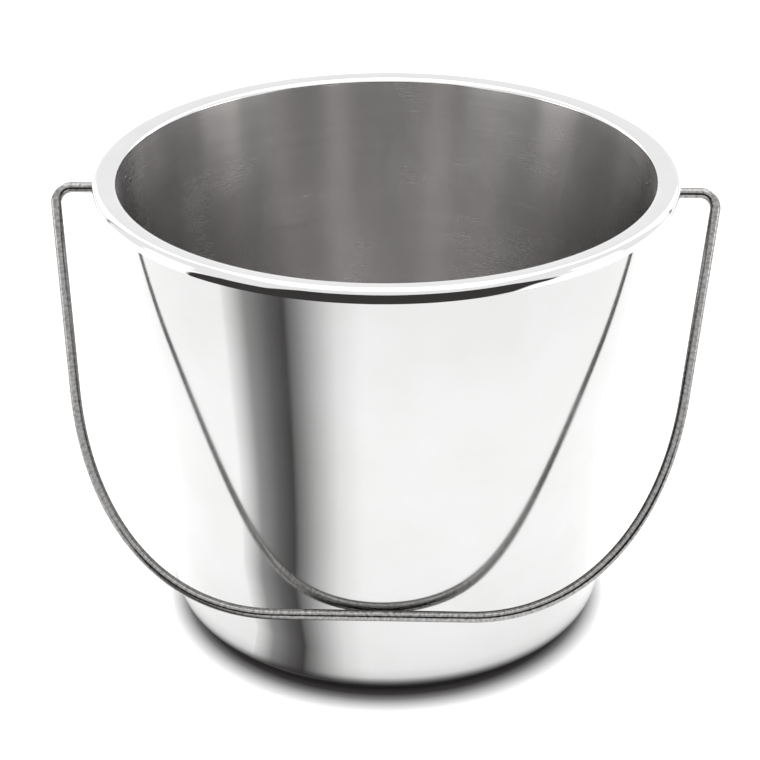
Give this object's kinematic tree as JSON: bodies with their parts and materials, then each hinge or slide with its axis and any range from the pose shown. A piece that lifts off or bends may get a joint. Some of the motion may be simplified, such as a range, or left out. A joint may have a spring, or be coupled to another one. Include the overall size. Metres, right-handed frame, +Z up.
{
  "type": "milking pail",
  "caption": "Tapered round steel pail with a curled rim, two pressed ears under the rim and a swinging wire bail that hangs down the front of the wall.",
  "frame": {"origin": "centre of the flat base, on the surface that the pail stands on", "axes": "+Z up along the pail's axis, +X along the bail's hinge axis, -Y towards the side where the bail hangs"},
  "size_m": [0.3124, 0.2716, 0.2235],
  "materials": {
    "polished_stainless": "mirror polished outside and on the rim, fine horizontal satin brushing inside",
    "pressed_stainless": "plain pressed sheet, semi-bright",
    "drawn_wire": "bright drawn wire with fine lengthwise lines"
  },
  "bodies": {
    "pail": {"pail_shell": "polished_stainless", "ear_left": "pressed_stainless", "ear_right": "pressed_stainless"},
    "bail": {"bail_handle": "drawn_wire"}
  },
  "joints": [
    {"name": "bail_hinge", "type": "hinge", "parent": "pail", "child": "bail", "pos_m": [0, 0, 0.21179], "axis": [-1, 0, 0], "range_deg": [0, 289.6]}
  ]
}
